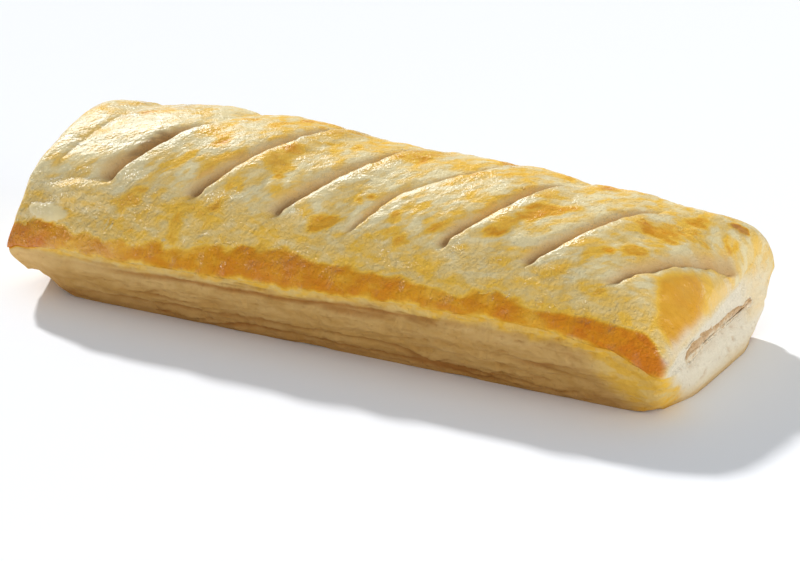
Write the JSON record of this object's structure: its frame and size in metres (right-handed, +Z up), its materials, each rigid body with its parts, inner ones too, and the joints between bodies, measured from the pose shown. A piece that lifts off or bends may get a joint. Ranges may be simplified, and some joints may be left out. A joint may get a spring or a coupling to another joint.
{
  "type": "sausage roll",
  "caption": "Baked sausage roll: sausage meat wrapped in glazed, slashed puff pastry, open at both cut ends",
  "frame": {"origin": "centre of the flat underside, on the surface the roll lies on", "axes": "+X along the roll towards the pressed-down end, +Y across it to the folded back edge, +Z up"},
  "size_m": [0.15, 0.055, 0.0367],
  "materials": {
    "pastry": "baked puff pastry, golden and egg glazed on top, browned along the front rim, pale flaky layers at the side and cut ends",
    "sausage_filling": "cooked sausage meat, pinkish tan, coarse and slightly moist"
  },
  "bodies": {
    "root": {"pastry": "pastry", "sausage_filling": "sausage_filling"}
  },
  "joints": []
}
